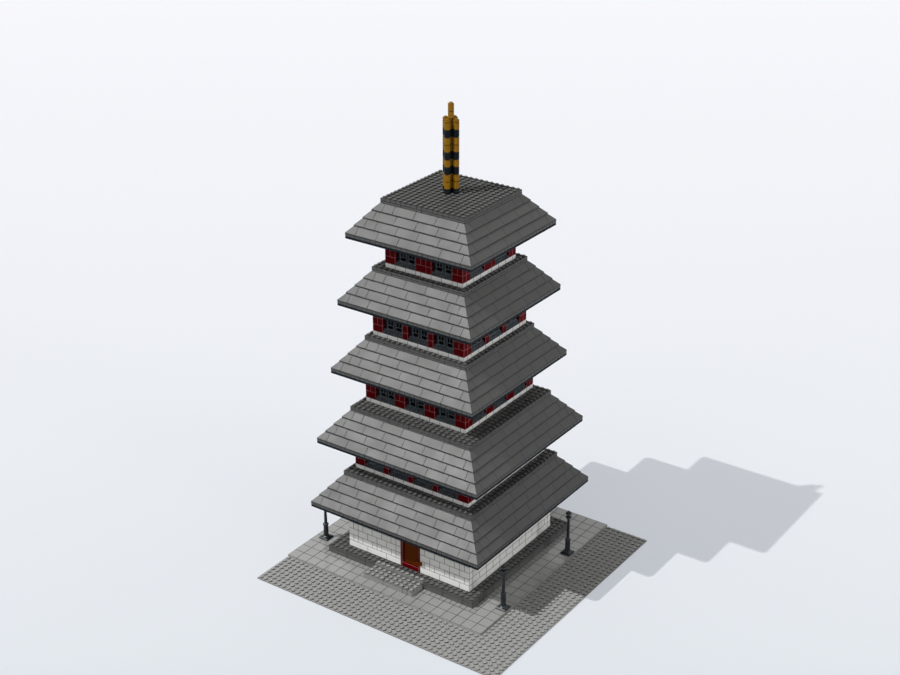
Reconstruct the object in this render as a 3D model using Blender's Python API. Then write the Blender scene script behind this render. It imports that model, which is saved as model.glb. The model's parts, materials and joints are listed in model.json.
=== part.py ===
"""Five-storey toy pagoda of interlocking bricks, standing on its square baseplate.

Sizes are counted in studs, the 8 mm pitch of the brick grid, from the baseplate's front left corner,
and become metres about the middle of its underside, +Z up. The entrance looks along -Y.
A brick is 1.2 studs high and a plate or a tile 0.4.
"""
import math

import bmesh
import bpy
from mathutils import Vector

STUD = 0.008
PLATE = 0.4
BRICK = 3 * PLATE
GAP = 0.0003 / STUD  # clearance kept between pieces that touch

# Ground: the baseplate, its smooth tiles, the podium, and the light step and threshold at the entrance
BASE_SIDE = 48
BASE_HEIGHT = 0.2
TILES_X = (0, 40)
TILES_Y = (8, 48)
TILE_TOP = BASE_HEIGHT + PLATE
PODIUM_X = (5, 35)
PODIUM_Y = (13, 43)
PODIUM_TOP = TILE_TOP + BRICK
ENTRANCE_X = (15, 25)
STEP_Y = (10, 13)
STEP_TOP = TILE_TOP + 2 * PLATE
THRESHOLD_Y = (13, 14)

# Storeys repeat every ten bricks. Each roof is an eave of two plates, four rows of slope bricks
# and a deck of two plates, which is also the floor of the storey above.
STOREY_PITCH = 10 * BRICK
FIRST_EAVE = BASE_HEIGHT + 26 * PLATE
EAVE_HEIGHT = 2 * PLATE
SLOPE_ROWS = 4
SLOPE_LIP = 0.2
SLOPE_DEPTH = 2
DECK_HEIGHT = 2 * PLATE
WALL_THICKNESS = 1
# Centre and width of each roof and of each storey's walls, and the widths of a wall's posts
ROOFS = {
    1: ((21, 27), 34),
    2: ((21, 27), 32),
    3: ((20, 28), 28),
    4: ((20, 28), 26),
    5: ((21, 27), 24),
}
WALLS = {
    1: ((20.5, 27.5), 25),
    2: ((20.5, 27.5), 23),
    3: ((20, 28), 20),
    4: ((20, 28), 18),
    5: ((20.5, 27.5), 15),
}
POST_WIDTHS = {2: (2, 1, 1, 1, 2), 3: (2, 2, 2, 2), 4: (2, 1, 1, 2), 5: (2, 3, 2)}

# Upper walls: a white course of two plates, then posts with a recessed panel of two windows
# between each pair of them, and one brick course over the panels
COURSE_HEIGHT = 2 * PLATE
PANEL_WIDTH = 4
PANEL_DEPTH = 0.6
PANEL_LEDGE = 0.1
PANEL_HEIGHT = 3 * BRICK
WINDOW_STARTS = (0.65, 2.15)
WINDOW_WIDTH = 1.2
WINDOW_SILL = 0.7
WINDOW_HEAD = 3.2

# Entrance: a frame four studs wide and six bricks high, with one leaf
DOOR_X = (19, 23)
DOOR_HEIGHT = 6 * BRICK
JAMB = 0.4
SILL = 0.8
HEAD = 0.4
LEAF_THICKNESS = 0.3
LEAF_CLEARANCE = 0.1
LEAF_FLOOR_GAP = 0.05
HINGE_INSET = 0.65
PIN_RADIUS = 0.11
PIN_SIDES = 12
PIN_END_GAP = 0.05
SOCKET_RADIUS = 0.15
SOCKET_SIDES = 16
SOCKET_DEPTH = 0.25
PULL_X = (22.1, 23.6)
PULL_Y = (14.6, 14.8)
PULL_Z = (3.7, 4.0)
STEM_WIDTH = 0.25
GRIP_WIDTH = 0.3
GRIP_Z = (3.45, 4.3)

# Spire: a core and four columns of round bricks around it
SPIRE_CENTRE = (20.5, 27.5)
COLUMN_RADIUS = 0.48
COLUMN_BRICKS = 10
CORE_BRICKS = 12
STUD_RADIUS = 0.3
STUD_HEIGHT = 0.2
ROUND_SIDES = 24

# Lamp posts on the tiles, near the corners of the podium
LAMP_PLACES = {"front_left": (2, 16), "front_right": (39, 16), "back_right": (39, 36), "back_left": (2, 36)}
LAMP_SIDES = 16
LAMP_SQUARES = [(0, 0.9), (0.25, 0.9), (0.42, 0.5)]
LAMP_ROUNDS = [
    (0.5, 0.38), (2.6, 0.36), (2.68, 0.44), (2.92, 0.44), (3.0, 0.27), (6.85, 0.22),
    (6.95, 0.42), (7.2, 0.42), (7.3, 0.27), (7.5, 0.27), (7.6, 0.42), (7.85, 0.42), (8.0, 0.27), (8.4, 0.14),
]

LIGHT_GREY = (0.36, 0.36, 0.34)
DARK_GREY = (0.095, 0.095, 0.095)
ROOF_GREY = (0.15, 0.15, 0.15)
WHITE = (0.75, 0.75, 0.73)
BLACK = (0.012, 0.018, 0.022)
DARK_RED = (0.13, 0.004, 0.006)
BROWN = (0.05, 0.02, 0.004)
GOLD = (0.4, 0.22, 0.04)


def clear_scene():
    for obj in list(bpy.data.objects):
        bpy.data.objects.remove(obj, do_unlink=True)


def metres(x, y, z):
    """A place on the stud grid, as a point of the model."""
    return Vector((x - BASE_SIDE / 2, y - BASE_SIDE / 2, z)) * STUD


def plastic(name, colour, roughness=0.35):
    found = bpy.data.materials.get(name)
    if found:
        return found
    material = bpy.data.materials.new(name)
    material.use_nodes = True
    shader = material.node_tree.nodes["Principled BSDF"]
    shader.inputs["Base Color"].default_value = (*colour, 1)
    shader.inputs["Roughness"].default_value = roughness
    return material


def add_piece(name, bm, place, material):
    """Link a mesh as a named piece, whose origin is at a place in studs."""
    bmesh.ops.recalc_face_normals(bm, faces=bm.faces)
    mesh = bpy.data.meshes.new(name)
    bm.to_mesh(mesh)
    bm.free()
    mesh.materials.append(material)
    piece = bpy.data.objects.new(name, mesh)
    piece.location = metres(*place)
    bpy.context.scene.collection.objects.link(piece)
    return piece


def cube_verts(bm, low, high):
    """Add a box between two corners, given in studs from the piece's own origin."""
    made = bmesh.ops.create_cube(bm, size=1)["verts"]
    for vert in made:
        for axis in range(3):
            middle = (low[axis] + high[axis]) / 2
            vert.co[axis] = (middle + vert.co[axis] * (high[axis] - low[axis])) * STUD
    return made


def block(name, x, y, z, material):
    """A plain box between grid lines, lifted clear of what carries it."""
    low = (x[0], y[0], z[0])
    high = (x[1], y[1], z[1])
    centre = [(a + b) / 2 for a, b in zip(low, high)]
    bm = bmesh.new()
    cube_verts(bm, [a - c for a, c in zip(low, centre)], [b - c for b, c in zip(high, centre)])
    return add_piece(name, bm, centre, material)


def loft(bm, rings, closed=False):
    """Skin equal rings of points; the ends are capped, or joined to each other."""
    loops = [[bm.verts.new(Vector(point) * STUD) for point in ring] for ring in rings]
    pairs = list(zip(loops, loops[1:]))
    if closed:
        pairs.append((loops[-1], loops[0]))
    for lower, upper in pairs:
        for i in range(len(lower)):
            j = (i + 1) % len(lower)
            bm.faces.new((lower[i], lower[j], upper[j], upper[i]))
    if not closed:
        bm.faces.new(loops[0])
        bm.faces.new(loops[-1])


def circle(radius, z, sides=ROUND_SIDES):
    turns = [2 * math.pi * i / sides for i in range(sides)]
    return [(radius * math.cos(turn), radius * math.sin(turn), z) for turn in turns]


def square(half, z, sides=4):
    """Points round a square, starting half a step off the +X axis so that corners are among them."""
    points = []
    for i in range(sides):
        turn = 2 * math.pi * (i + 0.5) / sides if sides == 4 else 2 * math.pi * i / sides
        reach = half / max(abs(math.cos(turn)), abs(math.sin(turn)))
        points.append((reach * math.cos(turn), reach * math.sin(turn), z))
    return points


def cut(piece, name, bm):
    """Cut a shape, given about the piece's own origin, out of the piece."""
    bmesh.ops.recalc_face_normals(bm, faces=bm.faces)
    mesh = bpy.data.meshes.new(name)
    bm.to_mesh(mesh)
    bm.free()
    cutter = bpy.data.objects.new(name, mesh)
    cutter.location = piece.location
    cutter.hide_render = True
    cutter.display_type = "WIRE"
    bpy.context.scene.collection.objects.link(cutter)
    boolean = piece.modifiers.new(name, "BOOLEAN")
    boolean.operation = "DIFFERENCE"
    boolean.solver = "EXACT"
    boolean.object = cutter


def cut_boxes(piece, name, centre, boxes):
    """Cut boxes, given on the stud grid, out of a piece whose origin is at centre."""
    bm = bmesh.new()
    for low, high in boxes:
        cube_verts(bm, [a - c for a, c in zip(low, centre)], [b - c for b, c in zip(high, centre)])
    cut(piece, name, bm)


def grown(span, by):
    return (span[0] - by, span[1] + by)


def square_span(centre, width):
    """The grid lines at the two sides of a square, along X and along Y."""
    return tuple((c - width / 2, c + width / 2) for c in centre)


def eave_base(storey):
    return FIRST_EAVE + (storey - 1) * STOREY_PITCH


def floor_of(storey):
    """Height that a storey's walls stand on: the podium, or the deck of the roof below."""
    if storey == 1:
        return PODIUM_TOP
    return eave_base(storey - 1) + EAVE_HEIGHT + SLOPE_ROWS * BRICK + DECK_HEIGHT


def build_ground():
    whole = (0, BASE_SIDE)
    block("baseplate", whole, whole, (0, BASE_HEIGHT), plastic("light_grey_plate", LIGHT_GREY))
    smooth = plastic("light_grey_tile", LIGHT_GREY, 0.2)
    tiles = block("paving", TILES_X, TILES_Y, (BASE_HEIGHT + GAP, TILE_TOP), smooth)
    centre = (sum(TILES_X) / 2, sum(TILES_Y) / 2, (BASE_HEIGHT + GAP + TILE_TOP) / 2)
    beneath, above = BASE_HEIGHT - 1, TILE_TOP + 1
    hole_x, hole_y = grown(PODIUM_X, GAP), grown(PODIUM_Y, GAP)
    hole = ((hole_x[0], hole_y[0], beneath), (hole_x[1], hole_y[1], above))
    cut_boxes(tiles, "podium_place", centre, [hole])
    notch_x = grown(ENTRANCE_X, GAP)
    notch = ((notch_x[0], STEP_Y[0] - GAP, beneath), (notch_x[1], STEP_Y[1] + 1, above))
    cut_boxes(tiles, "step_place", centre, [notch])
    low = BASE_HEIGHT + GAP
    podium = block("podium", PODIUM_X, PODIUM_Y, (low, PODIUM_TOP), plastic("dark_grey", DARK_GREY))
    centre = (sum(PODIUM_X) / 2, sum(PODIUM_Y) / 2, (low + PODIUM_TOP) / 2)
    notch = ((notch_x[0], THRESHOLD_Y[0] - 1, low - 1), (notch_x[1], THRESHOLD_Y[1] + GAP, PODIUM_TOP + 1))
    cut_boxes(podium, "threshold_place", centre, [notch])
    grey = plastic("light_grey_brick", LIGHT_GREY)
    block("entrance_step", ENTRANCE_X, (STEP_Y[0], STEP_Y[1] - GAP), (low, STEP_TOP), grey)
    block("entrance_threshold", ENTRANCE_X, THRESHOLD_Y, (low, PODIUM_TOP), grey)


def build_ground_storey():
    white = plastic("white", WHITE)
    (x0, x1), (y0, y1) = square_span(*WALLS[1])
    height = (PODIUM_TOP + GAP, FIRST_EAVE)
    front = (y0, y0 + WALL_THICKNESS)
    side = (front[1] + GAP, y1 - WALL_THICKNESS - GAP)
    block("ground_wall_front_left", (x0, DOOR_X[0] - GAP), front, height, white)
    block("ground_wall_front_right", (DOOR_X[1] + GAP, x1), front, height, white)
    block("ground_wall_back", (x0, x1), (y1 - WALL_THICKNESS, y1), height, white)
    block("ground_wall_left", (x0, x0 + WALL_THICKNESS), side, height, white)
    block("ground_wall_right", (x1 - WALL_THICKNESS, x1), side, height, white)
    block("door_lintel", DOOR_X, front, (PODIUM_TOP + DOOR_HEIGHT + GAP, FIRST_EAVE), white)
    build_door(front)


def build_door(depth):
    """The frame, and the leaf that turns on two pins in the frame's sill and head."""
    bottom, top = PODIUM_TOP + GAP, PODIUM_TOP + DOOR_HEIGHT
    frame = block("door_frame", DOOR_X, depth, (bottom, top), plastic("dark_red", DARK_RED))
    centre = (sum(DOOR_X) / 2, sum(depth) / 2, (bottom + top) / 2)
    sill_top, head_base = PODIUM_TOP + SILL, top - HEAD
    way = ((DOOR_X[0] + JAMB, depth[0] - 1, sill_top), (DOOR_X[1] - JAMB, depth[1] + 1, head_base))
    cut_boxes(frame, "doorway", centre, [way])
    hinge = (DOOR_X[0] + HINGE_INSET, sum(depth) / 2)
    leaf_low, leaf_high = sill_top + LEAF_FLOOR_GAP, head_base - LEAF_FLOOR_GAP
    sockets = bmesh.new()
    socket_low = sill_top - SOCKET_DEPTH - centre[2]
    socket_high = head_base + SOCKET_DEPTH - centre[2]
    offset = (hinge[0] - centre[0], hinge[1] - centre[1])
    rings = [circle(SOCKET_RADIUS, z, SOCKET_SIDES) for z in (socket_low, socket_high)]
    loft(sockets, [[(x + offset[0], y + offset[1], z) for x, y, z in ring] for ring in rings])
    cut(frame, "hinge_sockets", sockets)
    build_leaf(hinge, leaf_low, leaf_high)


def build_leaf(hinge, low, high):
    """A flat leaf with a rounded hinge edge, its two pins, and a pull that reaches past the frame."""
    half = LEAF_THICKNESS / 2
    length = DOOR_X[1] - JAMB - LEAF_CLEARANCE - hinge[0]
    arc = [math.radians(90 + 180 * i / 8) for i in range(9)]
    outline = [(half * math.cos(a), half * math.sin(a)) for a in arc]
    outline += [(length, -half), (length, half)]
    bm = bmesh.new()
    loft(bm, [[(x, y, z) for x, y in outline] for z in (0, high - low)])
    leaf = add_piece("door_leaf", bm, (*hinge, low), plastic("brown", BROWN))
    add = bmesh.new()
    pin_reach = LEAF_FLOOR_GAP + SOCKET_DEPTH - PIN_END_GAP
    loft(add, [circle(PIN_RADIUS, z, PIN_SIDES) for z in (-pin_reach, high - low + pin_reach)])
    join(leaf, "hinge_pins", add)
    for part, x, y, z in (
        ("pull_stem", (PULL_X[0], PULL_X[0] + STEM_WIDTH), (PULL_Y[0], hinge[1]), PULL_Z),
        ("pull_bar", PULL_X, PULL_Y, PULL_Z),
        ("pull_grip", (PULL_X[1] - GRIP_WIDTH, PULL_X[1]), PULL_Y, GRIP_Z),
    ):
        bm = bmesh.new()
        corners = [[value - start for value, start in zip(corner, (*hinge, low))] for corner in zip(x, y, z)]
        cube_verts(bm, *corners)
        join(leaf, part, bm)


def join(piece, name, bm):
    """Fuse a shape, given about the piece's own origin, to the piece."""
    cut(piece, name, bm)
    piece.modifiers[name].operation = "UNION"


def build_roof(storey):
    centre, width = ROOFS[storey]
    half = width / 2
    x, y = square_span(centre, width)
    eave = eave_base(storey)
    slope = eave + EAVE_HEIGHT
    deck = slope + SLOPE_ROWS * BRICK
    block(f"eave_{storey}", x, y, (eave + GAP, slope), plastic("black", BLACK))
    outer, inner = [], []
    for row in range(SLOPE_ROWS):
        base = row * BRICK
        outer += [(half - row, base), (half - row, base + SLOPE_LIP)]
        inner += [(half - row - SLOPE_DEPTH, base), (half - row - SLOPE_DEPTH, base + BRICK)]
    outer.append((half - SLOPE_ROWS, SLOPE_ROWS * BRICK))
    outer[0] = (half, GAP)
    inner[0] = (half - SLOPE_DEPTH, GAP)
    bm = bmesh.new()
    loft(bm, [square(reach, z) for reach, z in outer + inner[::-1]], closed=True)
    add_piece(f"roof_slope_{storey}", bm, (*centre, slope), plastic("roof_grey", ROOF_GREY))
    x, y = square_span(centre, width - 2 * SLOPE_ROWS)
    block(f"roof_deck_{storey}", x, y, (deck + GAP, deck + DECK_HEIGHT), plastic("dark_grey", DARK_GREY))


def panel_starts(storey):
    """Where each window panel starts along a wall, from the storey's front left corner."""
    starts = []
    at = 0
    for post in POST_WIDTHS[storey][:-1]:
        at += post
        starts.append(at)
        at += PANEL_WIDTH
    return starts


def box_in_wall(side, x, y, along, depth, height):
    """Corners of a box given along a storey's wall and inwards from the wall's outer face."""
    if side == "front":
        spans = ((x[0] + along[0], x[0] + along[1]), (y[0] + depth[0], y[0] + depth[1]), height)
    elif side == "back":
        spans = ((x[0] + along[0], x[0] + along[1]), (y[1] - depth[1], y[1] - depth[0]), height)
    elif side == "left":
        spans = ((x[0] + depth[0], x[0] + depth[1]), (y[0] + along[0], y[0] + along[1]), height)
    else:
        spans = ((x[1] - depth[1], x[1] - depth[0]), (y[0] + along[0], y[0] + along[1]), height)
    return tuple(zip(*spans))


def build_upper_storey(storey):
    storey_x, storey_y = square_span(*WALLS[storey])
    (x0, x1), (y0, y1) = storey_x, storey_y
    floor = floor_of(storey)
    top = eave_base(storey)
    course_top = floor + COURSE_HEIGHT
    course_base = floor + GAP
    white = plastic("white", WHITE)
    course = block(f"base_course_{storey}", storey_x, storey_y, (course_base, course_top), white)
    centre = ((x0 + x1) / 2, (y0 + y1) / 2, (course_base + course_top) / 2)
    room_low = (x0 + WALL_THICKNESS, y0 + WALL_THICKNESS, floor - 1)
    room_high = (x1 - WALL_THICKNESS, y1 - WALL_THICKNESS, course_top + 1)
    cut_boxes(course, f"room_{storey}", centre, [(room_low, room_high)])
    panel_height = (course_top + PANEL_LEDGE, course_top + PANEL_HEIGHT)
    window_height = (course_top + WINDOW_SILL, course_top + WINDOW_HEAD)
    inside = (y0 + WALL_THICKNESS + GAP, y1 - WALL_THICKNESS - GAP)
    sides = {
        "front": ((x0, x1), (y0, y0 + WALL_THICKNESS)),
        "back": ((x0, x1), (y1 - WALL_THICKNESS, y1)),
        "left": ((x0, x0 + WALL_THICKNESS), inside),
        "right": ((x1 - WALL_THICKNESS, x1), inside),
    }
    for side, (x, y) in sides.items():
        name = f"storey_{storey}_{side}_wall"
        wall = block(name, x, y, (course_top + GAP, top), plastic("dark_red", DARK_RED))
        centre = (sum(x) / 2, sum(y) / 2, (course_top + GAP + top) / 2)
        panels, windows = [], []
        for start in panel_starts(storey):
            along = (start, start + PANEL_WIDTH)
            panels.append(box_in_wall(side, storey_x, storey_y, along, (-1, PANEL_DEPTH), panel_height))
            for window in WINDOW_STARTS:
                along = (start + window, start + window + WINDOW_WIDTH)
                through = (-1, WALL_THICKNESS + 1)
                windows.append(box_in_wall(side, storey_x, storey_y, along, through, window_height))
        cut_boxes(wall, f"{name}_panels", centre, panels)
        cut_boxes(wall, f"{name}_windows", centre, windows)


def build_spire():
    """Round bricks stacked on the top deck; the core stands two bricks above its four neighbours."""
    base = floor_of(6)
    gold = plastic("gold", GOLD, 0.3)
    steps = {"left": (-1, 0), "right": (1, 0), "front": (0, -1), "back": (0, 1)}
    top = COLUMN_BRICKS * BRICK
    for side, (dx, dy) in steps.items():
        bm = bmesh.new()
        loft(bm, [circle(COLUMN_RADIUS, GAP), circle(COLUMN_RADIUS, top)])
        add_piece(f"spire_column_{side}", bm, (SPIRE_CENTRE[0] + dx, SPIRE_CENTRE[1] + dy, base), gold)
    bm = bmesh.new()
    top = CORE_BRICKS * BRICK
    profile = [(COLUMN_RADIUS, GAP), (COLUMN_RADIUS, top)]
    profile += [(STUD_RADIUS, top), (STUD_RADIUS, top + STUD_HEIGHT)]
    loft(bm, [circle(radius, z) for radius, z in profile])
    add_piece("spire_core", bm, (*SPIRE_CENTRE, base), gold)


def build_lamps():
    black = plastic("black", BLACK)
    squares = [square(half, z, LAMP_SIDES) for z, half in LAMP_SQUARES]
    squares[0] = square(LAMP_SQUARES[0][1], GAP, LAMP_SIDES)
    rounds = [circle(radius, z, LAMP_SIDES) for z, radius in LAMP_ROUNDS]
    for place, (x, y) in LAMP_PLACES.items():
        bm = bmesh.new()
        loft(bm, squares + rounds)
        add_piece(f"lamp_post_{place}", bm, (x, y, TILE_TOP), black)


def main():
    clear_scene()
    build_ground()
    build_ground_storey()
    for storey in ROOFS:
        build_roof(storey)
    for storey in POST_WIDTHS:
        build_upper_storey(storey)
    build_spire()
    build_lamps()


main()
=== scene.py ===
# %% [markdown]
# A five-storey pagoda of interlocking toy bricks, dressed for its portrait.
#
# The solids that this script starts from already have every main shape at its true size: slabs for the
# walls, stepped rings of slopes for the roofs. What they lack is what makes a brick model look like one:
# the studs, the joints between bricks, the window bars and the gloss of moulded plastic. Each cell below
# adds one of these, and puts it where the solid it stands for is.

# %% Load the frame
import itertools
import json
import math

import bmesh
import bpy
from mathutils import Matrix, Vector


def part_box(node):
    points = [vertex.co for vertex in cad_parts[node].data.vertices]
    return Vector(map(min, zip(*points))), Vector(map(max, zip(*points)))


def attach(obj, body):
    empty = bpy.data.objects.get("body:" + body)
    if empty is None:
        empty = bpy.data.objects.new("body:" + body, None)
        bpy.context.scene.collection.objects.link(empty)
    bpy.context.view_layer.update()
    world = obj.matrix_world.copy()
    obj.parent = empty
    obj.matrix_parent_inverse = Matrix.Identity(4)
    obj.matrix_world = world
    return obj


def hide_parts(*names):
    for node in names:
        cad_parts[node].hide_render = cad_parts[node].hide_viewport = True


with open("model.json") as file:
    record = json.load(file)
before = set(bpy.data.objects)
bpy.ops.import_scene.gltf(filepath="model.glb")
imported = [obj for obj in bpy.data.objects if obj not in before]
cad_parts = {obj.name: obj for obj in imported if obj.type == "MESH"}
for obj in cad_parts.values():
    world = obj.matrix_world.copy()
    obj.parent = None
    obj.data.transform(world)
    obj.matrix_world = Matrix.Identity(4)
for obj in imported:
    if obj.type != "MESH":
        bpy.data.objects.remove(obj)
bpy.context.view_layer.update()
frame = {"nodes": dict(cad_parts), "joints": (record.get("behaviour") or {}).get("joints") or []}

# %% [markdown]
# Everything on such a model lies on one grid. The distance between two studs is the unit, a plate is 0.4
# of it high and a brick 1.2. So this script counts in studs from the baseplate's front left corner, and
# turns to metres only when a mesh is made. The unit itself is measured on the baseplate, which is 48
# studs square, and every place comes from the box of a solid, so nothing here can drift from the frame.

# %% The stud grid
BASE_STUDS = 48
PLATE = 0.4
BRICK = 3 * PLATE
GRID_STEP = 0.1

base_low, base_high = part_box("baseplate")
STUD = (base_high.x - base_low.x) / BASE_STUDS
print(f"one stud is {STUD * 1000:.2f} mm")


def metres(x, y, z):
    """A point of the stud grid in metres."""
    return base_low + Vector((x, y, z)) * STUD


def solid_spans(node):
    """Where a solid runs along X, Y and Z, in studs, without the hair of room it keeps at its joints."""
    low, high = [(corner - base_low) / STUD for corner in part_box(node)]
    return [tuple(round(round(v / GRID_STEP) * GRID_STEP, 3) for v in pair) for pair in zip(low, high)]


# %% [markdown]
# Shader and geometry trees are long to write node by node. One small class keeps them readable. It wraps
# the output of a node, so that `1 - mask * 0.4` adds the nodes it needs, and its `make` adds any other
# node from a type, its settings and what goes into its sockets.

# %% A wire that does sums
def set_stops(ramp, stops):
    """Give a colour ramp its stops, each a position and a grey level."""
    while len(ramp.elements) > 1:
        ramp.elements.remove(ramp.elements[-1])
    for index, (position, level) in enumerate(stops):
        element = ramp.elements.new(position) if index else ramp.elements[0]
        element.position = position
        element.color = (level, level, level, 1)


class Wire:
    """The output of a node in a tree. Sums of wires and numbers add Math nodes."""

    def __init__(self, tree, end=None):
        self.tree = tree
        self.end = end

    def make(self, kind, settings=(), inputs=(), output=0):
        """Add a node: its settings first, then a value or a wire for each named socket."""
        node = self.tree.nodes.new(kind)
        for name, value in dict(settings).items():
            if name == "stops":
                set_stops(node.color_ramp, value)
            else:
                setattr(node, name, value)
        for key, value in dict(inputs).items():
            if isinstance(value, Wire):
                self.tree.links.new(value.end, node.inputs[key])
            else:
                node.inputs[key].default_value = value
        return Wire(self.tree, node.outputs[output])

    def feed(self, socket):
        self.tree.links.new(self.end, socket)

    def sums(self, operation, first, second):
        return self.make("ShaderNodeMath", {"operation": operation}, {0: first, 1: second})

    def vectors(self, operation, *values):
        """Vector maths on one or two values; to scale, the second one is a number."""
        key = 3 if operation == "SCALE" else 1
        inputs = {0: values[0]} | ({key: values[1]} if len(values) > 1 else {})
        return self.make("ShaderNodeVectorMath", {"operation": operation}, inputs)

    def dot(self, direction):
        """How far this vector reaches along a fixed direction."""
        inputs = {0: self, 1: direction}
        return self.make("ShaderNodeVectorMath", {"operation": "DOT_PRODUCT"}, inputs, "Value")

    def __add__(self, other):
        return self.sums("ADD", self, other)

    def __radd__(self, other):
        return self.sums("ADD", other, self)

    def __sub__(self, other):
        return self.sums("SUBTRACT", self, other)

    def __rsub__(self, other):
        return self.sums("SUBTRACT", other, self)

    def __mul__(self, other):
        return self.sums("MULTIPLY", self, other)

    def __rmul__(self, other):
        return self.sums("MULTIPLY", other, self)


print("a wire sums, subtracts and multiplies")

# %% [markdown]
# Moulded plastic is one colour all through, yet it is never flat to the eye. Each brick comes from another
# shot of the mould, so its tone differs a little. Its faces are slightly wavy, which bends the highlights,
# and handling leaves faint smears in the gloss. The tone comes from a number that every brick carries, the
# waves from a slow noise in a Bump node, and the smears from a noise in the roughness. The roof's slope
# bricks also have a fine grain, which real ones get from an etched mould. An image could hold all this,
# but noise on Object coordinates needs none, and stays as sharp from near as from far.
#
# Every brick marks the faces of its rounded edges with an `edge` value, and the material turns to its edge
# colour there. On most bricks that colour is darker and draws the joints as fine dark lines; on the red,
# slate and black ones it is paler than the faces, a painted highlight along every edge.

# %% A moulded plastic
TONE_SPREAD = 0.03
SMEAR_SIZE = 0.02
SMEAR_ROUGHNESS = 0.2
WAVE_SIZE = 0.006
WAVE_HEIGHT = 0.000008
GRAIN_SIZE = 0.0005
GRAIN_HEIGHT = 0.00002
PLASTIC_IOR = 1.53


def moulded(name, colour, edge_colour, roughness, gloss, grain_height=0.0):
    """A material for one colour of brick and of its edges, with the height of its grain in metres."""
    material = bpy.data.materials.new(name)
    material.use_nodes = True
    shader = material.node_tree.nodes["Principled BSDF"]
    start = Wire(material.node_tree)
    place = start.make("ShaderNodeTexCoord", output="Object")

    def noise(size, detail=2):
        inputs = {"Vector": place, "Scale": 1 / size, "Detail": detail}
        return start.make("ShaderNodeTexNoise", inputs=inputs)

    tone = start.make("ShaderNodeAttribute", {"attribute_name": "tone"}, output="Fac")
    edge = start.make("ShaderNodeAttribute", {"attribute_name": "edge"}, output="Fac")
    smear = noise(SMEAR_SIZE, 4) - 0.5
    level = 1 + tone * TONE_SPREAD + smear * TONE_SPREAD
    grey = start.make("ShaderNodeCombineColor", inputs={0: level, 1: level, 2: level})
    mixed = {0: edge, 6: (*colour, 1), 7: (*edge_colour, 1)}
    # edge faces turn to the edge colour: dark joint lines on most plastics, a painted highlight on the dark
    # ones
    edge_lines_and_painted_light = start.make("ShaderNodeMix", {"data_type": "RGBA"}, mixed, output=2)
    multiply = {"data_type": "RGBA", "blend_type": "MULTIPLY"}
    tinted = start.make("ShaderNodeMix", multiply, {0: 1.0, 6: edge_lines_and_painted_light, 7: grey}, output=2)
    tinted.feed(shader.inputs["Base Color"])
    (roughness + smear * SMEAR_ROUGHNESS).feed(shader.inputs["Roughness"])
    height = noise(WAVE_SIZE, 1) * WAVE_HEIGHT
    if grain_height:
        height = height + noise(GRAIN_SIZE) * grain_height
    bump = start.make("ShaderNodeBump", inputs={"Height": height, "Distance": 1.0, "Strength": 1.0})
    bump.feed(shader.inputs["Normal"])
    shader.inputs["IOR"].default_value = PLASTIC_IOR
    shader.inputs["Specular IOR Level"].default_value = gloss
    return material


print("tone from brick to brick:", TONE_SPREAD)

# %% [markdown]
# The palette: for each plastic its colour, the colour of its edges, its roughness and how strongly it
# mirrors. The smooth tiles mirror most, the studded baseplate and the red bricks hardly at all. So much of
# a studded field lies in its own shade that from afar it would turn black, so the studs of the dark plates
# have a slightly lighter grey than the plates. The bricks of the entrance step and the threshold are a
# little darker than the baseplate: painted shade on their faces, while their studs keep the baseplate's
# grey.

# %% The plastics
LIGHT_GREY = moulded("light_grey_plastic", (0.405, 0.405, 0.395), (0.05, 0.05, 0.05), 0.34, 0.05)
# painted shade: a darker copy of the light grey for the step's and the threshold's bricks
STEP_SHADED_GREY = moulded("step_shaded_grey_plastic", (0.258, 0.258, 0.252), (0.05, 0.05, 0.05), 0.34, 0.05)
TILE_GREY = moulded("tile_grey_plastic", (0.38, 0.38, 0.37), (0.03, 0.03, 0.03), 0.2, 0.8)
DARK_GREY = moulded("dark_grey_plastic", (0.10, 0.10, 0.098), (0.02, 0.02, 0.02), 0.38, 0.2)
STUD_GREY = moulded("dark_grey_stud_plastic", (0.138, 0.138, 0.135), (0.02, 0.02, 0.02), 0.38, 0.2)
WHITE = moulded("white_plastic", (0.83, 0.83, 0.81), (0.06, 0.06, 0.06), 0.3, 0.2)
# The four below have edge colours paler than their faces: a painted highlight along every edge.
BLACK = moulded("black_plastic", (0.007, 0.011, 0.015), (0.03, 0.04, 0.05), 0.3, 0.05)
SLATE = moulded("window_slate_plastic", (0.036, 0.046, 0.055), (0.27, 0.30, 0.32), 0.3, 0.1)
LAMP_BLACK = moulded("lamp_black_plastic", (0.018, 0.022, 0.026), (0.10, 0.12, 0.13), 0.3, 0.3)
DARK_RED = moulded("dark_red_plastic", (0.102, 0.0008, 0.0025), (0.42, 0.15, 0.16), 0.32, 0.02)
BROWN = moulded("brown_plastic", (0.105, 0.022, 0.0005), (0.05, 0.01, 0.001), 0.34, 0.05)
GOLD = moulded("pearl_gold_plastic", (0.27, 0.135, 0.010), (0.12, 0.05, 0.005), 0.33, 0.05)
ROOF_GREY = moulded(
    "roof_slope_plastic", (0.086, 0.086, 0.084), (0.01, 0.01, 0.01), 0.475, 0.5, GRAIN_HEIGHT
)
print("plastics:", sorted(m.name for m in bpy.data.materials if "plastic" in m.name))

# %% [markdown]
# Two geometry trees lay all the bricks. Both begin with named inputs and end alike: they draw a tone for
# every brick they lay, turn the bricks into one real mesh, and give it its plastic. The tone is drawn from
# a fixed seed, so each run is the same.

# %% How a tree of bricks begins and ends
KINDS = {"Material": "NodeSocketMaterial", "Piece": "NodeSocketObject", "Seed": "NodeSocketInt"}


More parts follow.
